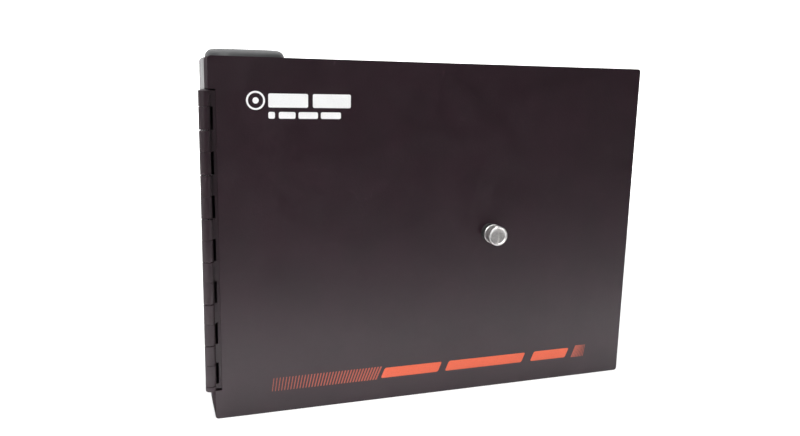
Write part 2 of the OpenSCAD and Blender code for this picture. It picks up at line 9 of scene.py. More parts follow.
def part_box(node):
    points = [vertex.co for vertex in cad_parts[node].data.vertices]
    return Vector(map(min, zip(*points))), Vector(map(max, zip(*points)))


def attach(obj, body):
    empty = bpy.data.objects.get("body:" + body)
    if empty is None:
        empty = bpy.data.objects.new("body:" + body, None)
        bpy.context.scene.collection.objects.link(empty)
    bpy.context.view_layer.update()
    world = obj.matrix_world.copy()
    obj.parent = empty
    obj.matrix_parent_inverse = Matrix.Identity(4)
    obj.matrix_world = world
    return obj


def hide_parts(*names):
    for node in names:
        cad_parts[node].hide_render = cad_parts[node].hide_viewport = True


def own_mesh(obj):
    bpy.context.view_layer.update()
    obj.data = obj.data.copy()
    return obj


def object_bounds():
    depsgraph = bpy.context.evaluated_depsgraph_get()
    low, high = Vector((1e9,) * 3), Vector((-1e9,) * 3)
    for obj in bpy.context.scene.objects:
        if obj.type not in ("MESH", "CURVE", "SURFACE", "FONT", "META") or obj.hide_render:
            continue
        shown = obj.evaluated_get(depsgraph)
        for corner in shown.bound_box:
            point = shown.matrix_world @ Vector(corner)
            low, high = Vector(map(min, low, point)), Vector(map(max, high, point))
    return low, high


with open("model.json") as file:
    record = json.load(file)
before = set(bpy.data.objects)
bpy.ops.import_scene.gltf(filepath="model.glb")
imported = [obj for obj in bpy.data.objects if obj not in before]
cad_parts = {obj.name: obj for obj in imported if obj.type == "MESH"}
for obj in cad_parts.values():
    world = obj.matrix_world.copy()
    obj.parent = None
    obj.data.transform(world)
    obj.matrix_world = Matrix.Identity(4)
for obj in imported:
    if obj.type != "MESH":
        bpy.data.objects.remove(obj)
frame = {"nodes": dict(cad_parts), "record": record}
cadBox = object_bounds()
mm = 0.001
print("frame loaded:", len(frame["nodes"]), "nodes")


# ---- shared tools ----

def newObject(name, bm):
    mesh = bpy.data.meshes.new(name)
    bm.to_mesh(mesh)
    bm.free()
    obj = bpy.data.objects.new(name, mesh)
    bpy.context.scene.collection.objects.link(obj)
    return obj


def settle(obj):
    # turns the modifiers' result into the piece's own mesh
    bpy.context.view_layer.update()
    mesh = bpy.data.meshes.new_from_object(obj.evaluated_get(bpy.context.evaluated_depsgraph_get()))
    obj.modifiers.clear()
    obj.data = mesh
    return obj


def shade(obj, angle=34):
    obj.data.shade_smooth()
    obj.data.set_sharp_from_angle(angle=math.radians(angle))
    flat = obj.modifiers.new("flat faces", "WEIGHTED_NORMAL")
    flat.keep_sharp = True
    return settle(obj)


def place(obj, finish, body, slotName, *nodes):
    # gives a piece its finish, the body it moves with and the nodes it stands for; slotName is not used
    obj.data.materials.clear()
    obj.data.materials.append(finish)
    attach(obj, body)
    if nodes:
        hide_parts(*nodes)
    return obj


def facing(bm):
    bmesh.ops.remove_doubles(bm, verts=bm.verts, dist=1e-7)
    bmesh.ops.recalc_face_normals(bm, faces=bm.faces)


def addBox(bm, low, high, slant=0.0):
    # slant moves the upper edge along X, by a share of the height
    made = bmesh.ops.create_cube(bm, size=1)["verts"]
    for v in made:
        rise = v.co.z + 0.5
        v.co = Vector([low[i] + (v.co[i] + 0.5) * (high[i] - low[i]) for i in range(3)])
        v.co.x += slant * rise * (high[2] - low[2])
    return made


def lathe(bm, profile, steps, origin, axis="Y"):
    # profile is a list of (radius, distance along the axis); it closes where it meets the axis
    rings = []
    for radius, along in profile:
        ring = []
        count = 1 if radius < 1e-9 else steps
        for i in range(count):
            a = 2 * math.pi * i / steps
            u, v = radius * math.cos(a), radius * math.sin(a)
            spot = {"X": (along, u, v), "Y": (u, along, v), "Z": (u, v, along)}[axis]
            ring.append(bm.verts.new(Vector(spot) + Vector(origin)))
        rings.append(ring)
    for one, two in zip(rings, rings[1:]):
        for i in range(steps):
            j = (i + 1) % steps
            corners = [one[i % len(one)], one[j % len(one)], two[j % len(two)], two[i % len(two)]]
            kept = list(dict.fromkeys(corners))
            if len(kept) > 2:
                bm.faces.new(kept)


def cut(obj, cutters):
    for tool in cutters:
        mod = obj.modifiers.new("cut", "BOOLEAN")
        mod.operation = "DIFFERENCE"
        mod.solver = "EXACT"
        mod.object = tool
    settle(obj)
    for tool in cutters:
        bpy.data.objects.remove(tool)


# angles in degrees; weld joins the split points of a CAD mesh, level merges faces that lie in one plane
dressing = {"weld": 2e-6, "level": 0.8, "sharp": 32, "cornerSteps": 6, "bendSteps": 3, "edgeSteps": 2}


def dress(node, finish, edge=0.2, name=None, bends=None, corner=0):
    # a copy of a CAD node with its edges rounded; bends gives a width where the sheet is folded, else 0
    source = frame["nodes"][node]
    bm = bmesh.new()
    bm.from_mesh(source.data)
    bmesh.ops.remove_doubles(bm, verts=bm.verts, dist=dressing["weld"])
    bmesh.ops.dissolve_limit(bm, angle_limit=math.radians(dressing["level"]), verts=bm.verts, edges=bm.edges)
    if corner:
        upright = [e for e in bm.edges if outerCorner(e.verts[0].co, e.verts[1].co)]
        bmesh.ops.bevel(bm, geom=upright, offset=corner * mm, segments=dressing["cornerSteps"], profile=0.5,
                        affect="EDGES")
    layer = bm.edges.layers.float.new("bevel_weight_edge")
    widths = {}
    for e in bm.edges:
        folded = bends(e.verts[0].co, e.verts[1].co) if bends else 0
        if folded or (len(e.link_faces) == 2 and e.calc_face_angle(0) > math.radians(dressing["sharp"])):
            widths[e] = (folded or edge) * mm
    widest = max(widths.values())
    for e, width in widths.items():
        e[layer] = width / widest
    obj = newObject(name or node + "_piece", bm)
    mod = obj.modifiers.new("edges", "BEVEL")
    mod.width = widest
    mod.segments = dressing["bendSteps"] if bends else dressing["edgeSteps"]
    mod.limit_method = "WEIGHT"
    settle(obj)
    shade(obj)
    body = next(b for b, nodes in frame["record"]["behaviour"]["bodies"].items() if node in nodes)
    slots = {part["node"]: part["material_slot"] for part in frame["record"]["subparts"]}
    return place(obj, finish, body, slots[node], node)


# ---- node trees that repeat a shape ----

def addNode(tree, kind, inputs=None, **settings):
    node = tree.nodes.new(kind)
    for key, value in settings.items():
        setattr(node, key, value)
    for key, value in (inputs or {}).items():
        if isinstance(value, bpy.types.NodeSocket):
            tree.links.new(value, node.inputs[key])
        else:
            node.inputs[key].default_value = value
    return node


def newTree(name, sizes):
    tree = bpy.data.node_groups.new(name, "GeometryNodeTree")
    tree.interface.new_socket("Geometry", in_out="INPUT", socket_type="NodeSocketGeometry")
    for label, kind in sizes.items():
        tree.interface.new_socket(label, in_out="INPUT", socket_type="NodeSocket" + kind)
    tree.interface.new_socket("Geometry", in_out="OUTPUT", socket_type="NodeSocketGeometry")
    return tree, addNode(tree, "NodeGroupInput").outputs


def endTree(tree, geometry, finish):
    real = addNode(tree, "GeometryNodeRealizeInstances", {"Geometry": geometry})
    painted = addNode(tree, "GeometryNodeSetMaterial", {"Geometry": real.outputs[0], "Material": finish})
    addNode(tree, "NodeGroupOutput", {"Geometry": painted.outputs[0]})
    return tree


def runTree(obj, tree, values):
    mod = obj.modifiers.new(tree.name, "NODES")
    mod.node_group = tree
    for item in tree.interface.items_tree:
        if item.item_type == "SOCKET" and item.in_out == "INPUT" and item.name in values:
            mod[item.identifier] = values[item.name]
    return settle(obj)


def buildRowTree():
    # copies along a line; the copies' thickness along X goes from Start to End
    tree, size = newTree("row", {"Count": "Int", "Step": "Vector", "Start": "Float",
                                 "End": "Float", "Finish": "Material"})
    line = addNode(tree, "GeometryNodeMeshLine", {"Count": size["Count"], "Offset": size["Step"]})
    last = addNode(tree, "ShaderNodeMath", {0: size["Count"], 1: 1.001}, operation="SUBTRACT")
    grow = addNode(tree, "ShaderNodeMapRange",
                   {"Value": addNode(tree, "GeometryNodeInputIndex").outputs[0],
                    "From Max": last.outputs[0], "To Min": size["Start"], "To Max": size["End"]})
    scale = addNode(tree, "ShaderNodeCombineXYZ", {"X": grow.outputs[0], "Y": 1.0, "Z": 1.0})
    copies = addNode(tree, "GeometryNodeInstanceOnPoints",
                     {"Points": line.outputs[0], "Instance": size["Geometry"],
                      "Scale": scale.outputs[0]})
    return endTree(tree, copies.outputs[0], size["Finish"])


def buildKnurlTree():
    # rings of copies round Z, each ring turned half a step from the one before
    tree, size = newTree("knurl", {"Radius": "Float", "Around": "Int", "Rows": "Int",
                                   "Pitch": "Float", "Finish": "Material"})
    circle = addNode(tree, "GeometryNodeMeshCircle", {"Vertices": size["Around"], "Radius": size["Radius"]})
    step = addNode(tree, "ShaderNodeMath", {0: 2 * math.pi, 1: size["Around"]}, operation="DIVIDE")
    index = addNode(tree, "GeometryNodeInputIndex").outputs[0]
    turn = addNode(tree, "ShaderNodeMath", {0: index, 1: step.outputs[0]}, operation="MULTIPLY")
    spin = addNode(tree, "ShaderNodeCombineXYZ", {"Z": turn.outputs[0]})
    ring = addNode(tree, "GeometryNodeInstanceOnPoints",
                   {"Points": circle.outputs[0], "Instance": size["Geometry"], "Rotation": spin.outputs[0]})
    rise = addNode(tree, "ShaderNodeCombineXYZ", {"Z": size["Pitch"]})
    line = addNode(tree, "GeometryNodeMeshLine", {"Count": size["Rows"], "Offset": rise.outputs[0]})
    half = addNode(tree, "ShaderNodeMath", {0: step.outputs[0], 1: 2.0}, operation="DIVIDE")
    index2 = addNode(tree, "GeometryNodeInputIndex").outputs[0]
    odd = addNode(tree, "ShaderNodeMath", {0: index2, 1: 2.0}, operation="MODULO")
    shift = addNode(tree, "ShaderNodeMath", {0: odd.outputs[0], 1: half.outputs[0]}, operation="MULTIPLY")
    spin2 = addNode(tree, "ShaderNodeCombineXYZ", {"Z": shift.outputs[0]})
    rows = addNode(tree, "GeometryNodeInstanceOnPoints",
                   {"Points": line.outputs[0], "Instance": ring.outputs[0], "Rotation": spin2.outputs[0]})
    return endTree(tree, rows.outputs[0], size["Finish"])


rowTree = buildRowTree()
knurlTree = buildKnurlTree()


def row(obj, finish, count, step, start=1.0, end=1.0):
    return runTree(obj, rowTree, {"Count": count, "Step": step, "Start": start, "End": end,
                                  "Finish": finish})


def shift(obj, offset):
    obj.data.transform(Matrix.Translation(Vector(offset)))
    return obj


# ---- finishes ----

def newFinish(name, values):
    mat = bpy.data.materials.new(name)
    mat.use_nodes = True
    shader = mat.node_tree.nodes["Principled BSDF"]
    for key, value in values.items():
        shader.inputs[key].default_value = (*value, 1) if isinstance(value, tuple) else value
    return mat, mat.node_tree, shader


def grain(tree, scale, detail=3.0, rough=0.5, stretch=(1, 1, 1)):
    spot = addNode(tree, "ShaderNodeTexCoord").outputs["Object"]
    turned = addNode(tree, "ShaderNodeMapping", {"Vector": spot, "Scale": stretch})
    return addNode(tree, "ShaderNodeTexNoise", {"Vector": turned.outputs[0], "Scale": scale,
                                                "Detail": detail, "Roughness": rough}).outputs["Fac"]


def remap(tree, value, low, high, fromLow=0.3, fromHigh=0.7):
    return addNode(tree, "ShaderNodeMapRange", {"Value": value, "From Min": fromLow, "From Max": fromHigh,
                                                "To Min": low, "To Max": high}).outputs[0]


def twoTone(tree, value, one, two, low=0.35, high=0.65):
    ramp = addNode(tree, "ShaderNodeValToRGB", {"Fac": value})
    ramp.color_ramp.elements[0].position = low
    ramp.color_ramp.elements[0].color = (*one, 1)
    ramp.color_ramp.elements[1].position = high
    ramp.color_ramp.elements[1].color = (*two, 1)
    return ramp.outputs[0]


def bump(tree, shader, layers):
    # layers are (height, depth in metres), the finest last
    normal = None
    for height, depth in layers:
        inputs = {"Height": height, "Distance": depth, "Strength": 1.0}
        if normal:
            inputs["Normal"] = normal
        normal = addNode(tree, "ShaderNodeBump", inputs).outputs[0]
    tree.links.new(normal, shader.inputs["Normal"])


def shaded(colour, share):
    return tuple(c * share for c in colour)


def powderCoat(name, colour, rough, gloss=0.5, peel=0.00006, graze=0.0):
    # fine orange peel, uneven gloss and slightly paler flecks
    mat, tree, shader = newFinish(name, {"Specular IOR Level": gloss})
    mottled = twoTone(tree, grain(tree, 38, 5, 0.6), shaded(colour, 0.86), shaded(colour, 1.12))
    specks = grain(tree, 2600, 2, 0.5)
    light = tuple(c * 2.2 + 0.006 for c in colour)
    flecked = addNode(tree, "ShaderNodeMix", {0: remap(tree, specks, 0, 0.5, 0.66, 0.8), 6: mottled,
                                              7: (*light, 1)}, data_type="RGBA")
    tree.links.new(flecked.outputs[2], shader.inputs["Base Color"])
    # the coarse texture scatters more where it is seen edge-on
    even = remap(tree, grain(tree, 60, 4, 0.6), rough - 0.05, rough + 0.06)
    edgeOn = addNode(tree, "ShaderNodeLayerWeight", {"Blend": 0.3}).outputs["Facing"]
    haze = addNode(tree, "ShaderNodeMath", {0: edgeOn, 1: graze, 2: even}, operation="MULTIPLY_ADD")
    tree.links.new(haze.outputs[0], shader.inputs["Roughness"])
    bump(tree, shader, [(grain(tree, 900, 2, 0.4), peel), (grain(tree, 3600, 2, 0.5), peel * 0.22)])
    return mat


def metal(name, colour, rough, stretch=(1, 1, 1), scratch=0.00002):
    mat, tree, shader = newFinish(name, {"Metallic": 1.0})
    lines = grain(tree, 900, 5, 0.65, stretch)
    tree.links.new(twoTone(tree, grain(tree, 120, 4, 0.6), shaded(colour, 0.84), colour),
                   shader.inputs["Base Color"])
    tree.links.new(remap(tree, lines, rough * 0.7, rough * 1.35), shader.inputs["Roughness"])
    bump(tree, shader, [(lines, scratch)])
    return mat


def plastic(name, colour, rough, texture=0.00002, scale=1400, gloss=0.5):
    mat, tree, shader = newFinish(name, {"Specular IOR Level": gloss})
    tree.links.new(twoTone(tree, grain(tree, 70, 4, 0.55), shaded(colour, 0.9), shaded(colour, 1.06)),
                   shader.inputs["Base Color"])
    tree.links.new(remap(tree, grain(tree, 240, 3, 0.5), rough - 0.04, rough + 0.06),
                   shader.inputs["Roughness"])
    bump(tree, shader, [(grain(tree, scale, 2, 0.5), texture)])
    return mat


def turned(name, colour, rough, axis="Y"):
    # fine rings round the piece's own axis, as a lathe leaves them
    mat, tree, shader = newFinish(name, {"Metallic": 1.0})
    low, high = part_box("knob")
    middle = (low + high) / 2
    spot = addNode(tree, "ShaderNodeTexCoord").outputs["Object"]
    centred = addNode(tree, "ShaderNodeMapping", {"Vector": spot, "Location": (-middle.x, 0, -middle.z),
                                                  "Scale": (1, 0, 1)})
    rings = addNode(tree, "ShaderNodeTexWave", {"Vector": centred.outputs[0], "Scale": 900,
                                                "Distortion": 0.6, "Detail": 2, "Detail Scale": 3},
                    wave_type="RINGS", rings_direction="SPHERICAL")
    tree.links.new(twoTone(tree, grain(tree, 420, 3, 0.5), shaded(colour, 0.82), colour),
                   shader.inputs["Base Color"])
    tree.links.new(remap(tree, rings.outputs["Fac"], rough * 0.75, rough * 1.4, 0, 1),
                   shader.inputs["Roughness"])
    bump(tree, shader, [(rings.outputs["Fac"], 0.000006)])
    return mat


def ink(name, colour, wear):
    # screen print with small pinholes
    mat, tree, shader = newFinish(name, {"Specular IOR Level": 0.35})
    tree.links.new(twoTone(tree, grain(tree, 2200, 3, 0.6), shaded(colour, wear), colour, 0.34, 0.46),
                   shader.inputs["Base Color"])
    tree.links.new(remap(tree, grain(tree, 500, 2, 0.5), 0.42, 0.6), shader.inputs["Roughness"])
    bump(tree, shader, [(grain(tree, 1500, 2, 0.5), 0.00001)])
    return mat


def clearSheet(name):
    mat, tree, shader = newFinish(name, {"Base Color": (0.93, 0.96, 0.97), "Transmission Weight": 1.0,
                                         "IOR": 1.49})
    tree.links.new(remap(tree, grain(tree, 180, 4, 0.6), 0.03, 0.1), shader.inputs["Roughness"])
    bump(tree, shader, [(grain(tree, 60, 2, 0.4), 0.00002)])
    return mat


paint = {"door": (0.0165, 0.0062, 0.0105), "body": (0.018, 0.016, 0.017), "inner": (0.024, 0.023, 0.024)}
doorPaint = powderCoat("door paint", paint["door"], 0.37, 0.5, 0.00005, 0.6)
# the flange coat is the door colour at nine tenths, painted shade on the folded sides
flangeShadePaint = powderCoat("flange paint with painted shade", shaded(paint["door"], 0.9), 0.6, 0.08, 0.00008, 0.4)
bodyPaint = powderCoat("body paint", paint["body"], 0.44, 0.42)
hingePaint = powderCoat("hinge paint", paint["door"], 0.4, 0.5, 0.00004, 0.6)
innerPaint = powderCoat("inner paint", paint["inner"], 0.45, 0.5, 0.00005)
brightNickel = turned("bright nickel", (0.88, 0.86, 0.85), 0.34)
# the ferrule's metal is coloured dark, at a tenth of white
darkFerruleMetal = metal("dark ferrule metal", (0.10, 0.10, 0.10), 0.4)
# the knurl is the knob's nickel at about two fifths of its colour, painted shade on the knurled band
knurlShadedNickel = metal("knurl nickel with painted shade", (0.34, 0.33, 0.32), 0.34)
brightSteel = metal("bright steel", (0.58, 0.58, 0.59), 0.28, (1, 1, 0.06))
springSteel = metal("spring steel", (0.42, 0.42, 0.43), 0.3)
zinc = metal("zinc plate", (0.60, 0.62, 0.65), 0.34)
brass = metal("brass", (0.72, 0.54, 0.25), 0.3)
rubber = plastic("grommet rubber", (0.055, 0.056, 0.058), 0.52, 0.00003, 1100, 0.55)
blackNylon = plastic("black nylon", (0.016, 0.016, 0.017), 0.42)
trayPlastic = plastic("tray plastic", (0.024, 0.024, 0.026), 0.48, 0.00004, 1900)
holderPlastic = plastic("holder plastic", (0.62, 0.61, 0.56), 0.4)
capPlastic = plastic("cap plastic", (0.74, 0.74, 0.70), 0.38)
adapterPlastic = plastic("adapter plastic", (0.012, 0.085, 0.33), 0.3, 0.000015)
cardStock = plastic("card stock", (0.72, 0.70, 0.64), 0.62, 0.00003, 2600, 0.3)
cardInk = ink("card ink", (0.05, 0.06, 0.09), 1.3)
clearCover = clearSheet("clear cover")
whiteInk = ink("white ink", (0.95, 0.95, 0.95), 0.9)
orangeInk = ink("orange ink", (0.66, 0.115, 0.055), 0.8)
fadedInk = ink("faded orange ink", (0.36, 0.085, 0.055), 0.75)
print("finishes made")


# ---- cabinet and door sheets ----

sheet = {"edge": 0.16, "bend": 1.5, "corner": 2.2, "doorBend": 0.9, "doorCorner": 1.9,
         "faceTilt": 0.97}
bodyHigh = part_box("cabinet_body")[1]
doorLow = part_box("door_panel")[0]
halfWide, halfHigh = bodyHigh.x, bodyHigh.z
doorFront = doorLow.y
sheetThick = -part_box("slack_spool_upper")[1].y  # the spool stands on the back sheet
near = 0.01 * mm


def outerCorner(a, b):
    # an edge that runs along Y where two outer walls meet
    return abs(abs(a.x) - halfWide) < near and abs(abs(a.z) - halfHigh) < near and \
        abs(a.x - b.x) < near and abs(a.z - b.z) < near


def onOutline(p, corner):
    beyond = abs(p.x) > halfWide - corner * mm - near and abs(p.z) > halfHigh - corner * mm - near
    return beyond or abs(abs(p.x) - halfWide) < near or abs(abs(p.z) - halfHigh) < near


def bodyBends(a, b):
    return sheet["bend"] * all(abs(p.y) < near and onOutline(p, sheet["corner"]) for p in (a, b))


def doorBends(a, b):
    return sheet["doorBend"] * all(abs(p.y - doorFront) < near and onOutline(p, sheet["doorCorner"])
                                   for p in (a, b))


def coatFlanges(obj, finish):
    # the door's folded sides and bends take a duller coat: rougher, less glossy, and its colour darkened to
    # nine tenths as painted shade
    obj.data.materials.append(finish)
    for face in obj.data.polygons:
        if abs(face.normal.y) < sheet["faceTilt"]:
            face.material_index = 1


dress("cabinet_body", bodyPaint, sheet["edge"], "cabinet_shell", bodyBends, sheet["corner"])
doorSheet = dress("door_panel", doorPaint, sheet["edge"], "door_sheet", doorBends, sheet["doorCorner"])
coatFlanges(doorSheet, flangeShadePaint)
print("cabinet and door made")


# ---- entry grommet ----

grommet = {"neck": 3.7, "innerLip": 2.0, "bore": 6.3, "wide": 4.9, "high": 4.4, "inner": 1.3,
           "around": 40, "roll": 8}


def obroundRing(bm, centre, wide, deep, z, around):
    # one level ring with two round ends
    ring = []
    radius = deep / 2
    run = wide - deep
    for side in (1, -1):
        for i in range(around + 1):
            a = -math.pi / 2 + math.pi * i / around
            ring.append(bm.verts.new((centre.x + side * (run / 2 + radius * math.cos(a)),
                                      centre.y + side * radius * math.sin(a), z)))
    return ring


def makeGrommet():
    low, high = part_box("cable_grommet")
    middle = (low + high) / 2
    wide, deep = high.x - low.x, high.y - low.y
    top, sheetTop = high.z, halfHigh
    neck, innerLip, bore = grommet["neck"] * mm, grommet["innerLip"] * mm, grommet["bore"] * mm
    rollWide, rollHigh, soft = grommet["wide"] * mm, grommet["high"] * mm, grommet["inner"] * mm
    quarter = [math.pi / 2 * i / grommet["roll"] for i in range(grommet["roll"] + 1)]
    profile = [(bore, low.z + 0.3 * mm), (bore - 0.3 * mm, low.z), (innerLip + 0.5 * mm, low.z),
               (innerLip, low.z + 0.5 * mm), (innerLip, sheetTop - sheetThick - 0.4 * mm),
               (innerLip + 0.4 * mm, sheetTop - sheetThick), (neck, sheetTop - sheetThick),
               (neck, sheetTop), (0.25 * mm, sheetTop), (0, sheetTop + 0.25 * mm)]
    profile += [(rollWide * (1 - math.cos(a)), top - rollHigh + rollHigh * math.sin(a)) for a in quarter]
    profile += [(bore - soft + soft * math.sin(a), top - soft + soft * math.cos(a)) for a in quarter]
    bm = bmesh.new()
    rings = [obroundRing(bm, middle, wide - 2 * inset, deep - 2 * inset, z, grommet["around"])
             for inset, z in profile]
    for one, two in zip(rings, rings[1:] + rings[:1]):
        for i in range(len(one)):
            j = (i + 1) % len(one)
            bm.faces.new([one[i], one[j], two[j], two[i]])
    facing(bm)
    obj = newObject("entry_grommet", bm)
    shade(obj, 50)
    place(obj, rubber, "cabinet", "grommet_rubber", "cable_grommet")


makeGrommet()


# ---- hinge ----

hinge = {"edge": 0.28, "wireEdge": 0.4, "rivets": 5, "headHigh": 1.1, "tailHigh": 1.1, "tailSoft": 0.4,
         "shank": 0.53, "tail": 0.8, "tailTip": 0.5, "around": 24, "domeSteps": 6}
dress("hinge_body_leaf", hingePaint, hinge["edge"], "hinge_leaf_on_body")
dress("hinge_door_leaf", hingePaint, hinge["edge"], "hinge_leaf_on_door")
dress("hinge_pin", brightSteel, hinge["wireEdge"], "hinge_wire")


def makeRivets():
    # domed heads on the leaf, upset tails inside the box
    low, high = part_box("hinge_rivets")
    headR = (high.y - low.y) / 2
    pitch = (high.z - low.z - 2 * headR) / (hinge["rivets"] - 1)
    headHigh = hinge["headHigh"] * mm
    leafFace = low.x + headHigh
    turns = [math.pi / 2 * i / hinge["domeSteps"] for i in range(hinge["domeSteps"] + 1)]
    dome = [(headR * math.sin(a), -headHigh * math.cos(a)) for a in turns]
    end = high.x - leafFace
    upset = end - hinge["tailHigh"] * mm
    shank, tail, tip = headR * hinge["shank"], headR * hinge["tail"], headR * hinge["tailTip"]
    profile = dome + [(shank, 0), (shank, upset), (tail, upset), (tail, end - hinge["tailSoft"] * mm),
                      (tip, end), (0, end)]
    bm = bmesh.new()
    lathe(bm, profile, hinge["around"], (0, 0, 0), "X")
    facing(bm)
    obj = newObject("hinge_rivet_row", bm)
    row(obj, hingePaint, hinge["rivets"], (0, 0, pitch))
    shift(obj, (leafFace, (low.y + high.y) / 2, low.z + headR))
    shade(obj, 30)
    place(obj, hingePaint, "cabinet", "hinge_paint", "hinge_rivets")


makeRivets()
print("hinge made")


# ---- printing on the door ----

printing = {"thick": 0.04, "sink": 0.05}
stripes = {"slant": 0.42, "low": -94.2, "high": -85.7, "first": -108.7, "count": 36, "step": 1.9,
           "wide": 1.15, "tailFirst": 103.6, "tailCount": 8, "tailStep": 1.35}
words = {"orange": [(-38.2, 1.6), (6.8, 64.0), (71.0, 98.6)], "low": -93.6, "high": -86.9}
plate = {"markX": -116.6, "markZ": 83.6, "markR": 5.4, "ring": 1.1,
         "top": [(-109.4, -86.2), (-83.4, -60.4)], "topLow": 79.7, "topHigh": 87.7,
         "under": [(-109.4, -105.6), (-103.4, -93.6), (-91.9, -80.3), (-78.6, -66.4)],
         "underLow": 73.3, "underHigh": 77.2}


def inkBars(bm, spans, low, high, slant=0.0):
    face = doorFront
    for start, end in spans:
        addBox(bm, (start * mm, face - printing["thick"] * mm, low * mm),
               (end * mm, face + printing["sink"] * mm, high * mm), slant)


def rounded(obj, width):
    # rounds only the corners of the print, seen from the front
    bm = bmesh.new()
    bm.from_mesh(obj.data)
    deep = [e for e in bm.edges if abs(e.verts[0].co.y - e.verts[1].co.y) > 0.01 * mm]
    bmesh.ops.bevel(bm, geom=deep, offset=width * mm, segments=3, profile=0.5, affect="EDGES")
    bm.to_mesh(obj.data)
    bm.free()


def makePrinting():
    bm = bmesh.new()
    inkBars(bm, plate["top"], plate["topLow"], plate["topHigh"])
    inkBars(bm, plate["under"], plate["underLow"], plate["underHigh"])
    white = newObject("white_bars", bm)
    rounded(white, 0.9)
    place(white, whiteInk, "door", "door_paint")

    bm = bmesh.new()
    out, deep = -printing["thick"] * mm, printing["sink"] * mm
    big, small = plate["markR"] * mm, (plate["markR"] - plate["ring"]) * mm
    lathe(bm, [(small, deep), (small, out), (big, out), (big, deep), (small, deep)], 64,
          (plate["markX"] * mm, doorFront, plate["markZ"] * mm))
    lathe(bm, [(0, out), (small * 0.42, out), (small * 0.42, deep), (0, deep)], 40,
          (plate["markX"] * mm, doorFront, plate["markZ"] * mm))
    facing(bm)
    place(newObject("ring_and_dot", bm), whiteInk, "door", "door_paint")

    bm = bmesh.new()
    inkBars(bm, words["orange"], words["low"], words["high"], stripes["slant"])
    orange = newObject("orange_bars", bm)
    rounded(orange, 1.1)
    place(orange, orangeInk, "door", "door_paint")

    tall = (stripes["high"] - stripes["low"]) * mm
    ranges = [("fading_stripes", stripes["first"], stripes["count"], stripes["step"], 0.3, 1.0, fadedInk),
              ("short_stripes", stripes["tailFirst"], stripes["tailCount"], stripes["tailStep"], 0.9, 0.35,
               fadedInk)]
    for name, first, count, step, start, end, finish in ranges:
        bm = bmesh.new()
        addBox(bm, (0, -printing["thick"] * mm, 0), (stripes["wide"] * mm, printing["sink"] * mm, tall),
               stripes["slant"])
        obj = newObject(name, bm)
        row(obj, finish, count, (step * mm, 0, 0), start, end)
        shift(obj, (first * mm, doorFront, stripes["low"] * mm))
        place(obj, finish, "door", "door_paint")


makePrinting()
print("printing made")


# ---- captive screw ----

knob = {"rim": 1.2, "rimHigh": 0.5, "recess": 0.8, "band": 0.8, "knurlDepth": 0.26, "around": 42, "rows": 10,
        "slotWide": 1.8, "slotDeep": 1.0, "slotEnd": 0.5, "pocketR": 4.9, "pocketFloor": 2.5,
        "rearSoft": 0.35, "steps": 96, "rimSteps": 10}
screw = {"pitch": 0.8, "depth": 0.34, "perTurn": 24, "perPitch": 6, "fade": 5, "groove": 0.5, "plain": 0.5,
         "around": 40}
spring = {"wire": 0.3, "turns": 7, "perTurn": 40, "sides": 12, "flat": 0.11}


def makeKnob():
    low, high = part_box("knob")
    middle = (low + high) / 2
    radius = (high.x - low.x) / 2
    length = high.y - low.y
    core = radius - knob["knurlDepth"] * mm
    rimHigh, recess, band = knob["rimHigh"] * mm, knob["recess"] * mm, knob["band"] * mm
    floorR = radius - knob["rim"] * mm
    pocketR, pocketFloor = knob["pocketR"] * mm, knob["pocketFloor"] * mm
    # the rim is a full round, so that it shines all the way along
    half = (radius - floorR) / 2
    turns = [math.pi * i / knob["rimSteps"] for i in range(knob["rimSteps"] + 1)]
    rim = [(floorR + half - half * math.cos(a), rimHigh - rimHigh * math.sin(a)) for a in turns]
    soft = 0.1 * mm
    rear = knob["rearSoft"] * mm
    profile = [(0, recess), (floorR - 5 * soft, recess), (floorR - soft, recess - 1.5 * soft)]
    profile += rim
    profile += [(radius, band - soft), (core, band + soft), (core, length - band),
                (radius, length - band + 2 * soft), (radius, length - rear), (radius - rear, length),
                (pocketR, length), (pocketR, pocketFloor), (0, pocketFloor)]
    bm = bmesh.new()
    lathe(bm, profile, knob["steps"], (middle.x, low.y, middle.z))
    facing(bm)
    obj = newObject("knob_turned", bm)
    bm = bmesh.new()
    slot, reach = knob["slotWide"] * mm / 2, floorR - knob["slotEnd"] * mm
    addBox(bm, (middle.x - slot, low.y - mm, middle.z - reach),
           (middle.x + slot, low.y + recess + knob["slotDeep"] * mm, middle.z + reach))
    cut(obj, [newObject("slot cutter", bm)])
    shade(obj, 38)
    place(obj, brightNickel, "screw", "bright_nickel", "knob")

    pitch = (length - 2 * band) / knob["rows"]
    wide = 2 * math.pi * core / knob["around"] * 0.5
    bm = bmesh.new()
    sunk = -0.1 * mm
    foot = [bm.verts.new(p) for p in ((sunk, -wide, 0), (sunk, 0, -pitch), (sunk, wide, 0), (sunk, 0, pitch))]
    tip = bm.verts.new((knob["knurlDepth"] * mm * 0.92, 0, 0))
    for i in range(4):
        bm.faces.new([foot[i], foot[(i + 1) % 4], tip])
    bm.faces.new(foot[::-1])
    bmesh.ops.recalc_face_normals(bm, faces=bm.faces)
    ridges = newObject("knob_knurl", bm)
    runTree(ridges, knurlTree, {"Radius": core, "Around": knob["around"], "Rows": knob["rows"] - 1,
                                "Pitch": pitch, "Finish": knurlShadedNickel})
    ridges.data.transform(Matrix.Translation((middle.x, low.y + band + pitch, middle.z)) @
                          Matrix.Rotation(math.radians(-90), 4, "X"))
    place(ridges, knurlShadedNickel, "screw", "bright_nickel")


